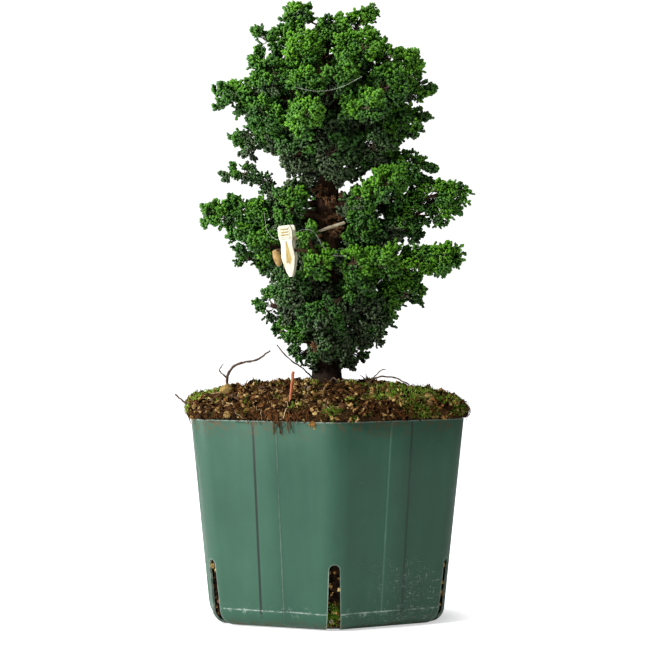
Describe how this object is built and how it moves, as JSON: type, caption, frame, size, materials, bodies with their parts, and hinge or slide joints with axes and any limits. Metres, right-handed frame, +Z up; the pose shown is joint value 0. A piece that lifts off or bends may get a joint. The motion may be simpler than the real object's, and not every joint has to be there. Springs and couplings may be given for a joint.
{
  "type": "potted_bonsai",
  "caption": "Potted hinoki cypress bonsai: upright bushy crown of flat scale-leaf sprays on a short trunk, root ball standing above a six-sided green nursery pot with corner slits",
  "frame": {"origin": "centre of the pot's flat base", "axes": "+Z up along the trunk and the longest extent; -Y toward the front of the tree, one pot corner turned 4 degrees off -Y toward +X"},
  "size_m": [0.168, 0.169, 0.3394],
  "materials": {
    "pot_plastic": "moss-green moulded plastic, soft sheen, light scuffs and dried soil",
    "soil": "dark brown fibrous peat with tan granules and green moss",
    "bark": "thin flaking red-brown bark, matte",
    "foliage": "scale leaves, deep green with fresh yellow-green tips, satin",
    "clip_plastic": "ivory moulded plastic, lightly dirty",
    "bamboo": "bleached dry splint, matte",
    "dead_wood": "dry grey-brown dead twig, matte",
    "red_stalk": "thin red-brown stalk, smooth"
  },
  "bodies": {
    "root": {"pot": "pot_plastic", "root_ball": "soil", "trunk": "bark", "plant_clip": "clip_plastic", "splint": "bamboo", "dead_twig_left": "dead_wood", "dead_twig_right": "dead_wood", "dead_twig_edge": "dead_wood", "seedling_stalk": "red_stalk", "spray_apex": "foliage", "spray_apex_right": "foliage", "spray_crown_left_upper": "foliage", "spray_crown_left_second": "foliage", "spray_crown_left_long": "foliage", "spray_crown_left_low": "foliage", "spray_crown_right_upper": "foliage", "spray_crown_right_shoulder": "foliage", "spray_crown_right_middle": "foliage", "spray_crown_right_low": "foliage", "spray_front_upper_left": "foliage", "spray_front_upper_right": "foliage", "spray_front_middle": "foliage", "spray_front_left_bright": "foliage", "spray_front_right_bright": "foliage", "spray_front_left_high": "foliage", "spray_front_left_low": "foliage", "spray_front_right_high": "foliage", "spray_under_front": "foliage", "spray_under_right": "foliage", "spray_back_top": "foliage", "spray_back_left": "foliage", "spray_back_right": "foliage", "spray_back_under": "foliage", "spray_arching_twig": "foliage", "spray_left_far": "foliage", "spray_left_lower": "foliage", "spray_left_tip": "foliage", "spray_right_high": "foliage", "spray_right_far": "foliage", "spray_front_right_fan": "foliage", "spray_right_inner": "foliage", "spray_right_low_far": "foliage", "spray_front_bright_right": "foliage", "spray_front_bright_left": "foliage", "spray_front_left_body": "foliage", "spray_front_right_body": "foliage", "spray_front_grey": "foliage", "spray_front_low": "foliage", "spray_back_left_middle": "foliage", "spray_back_right_middle": "foliage", "spray_back_middle": "foliage", "spray_low_left_tip": "foliage", "spray_low_left_twig": "foliage", "spray_low_left_foot": "foliage", "spray_low_right_tip": "foliage", "spray_low_right_body": "foliage", "spray_low_front": "foliage", "spray_low_back": "foliage"}
  },
  "joints": []
}
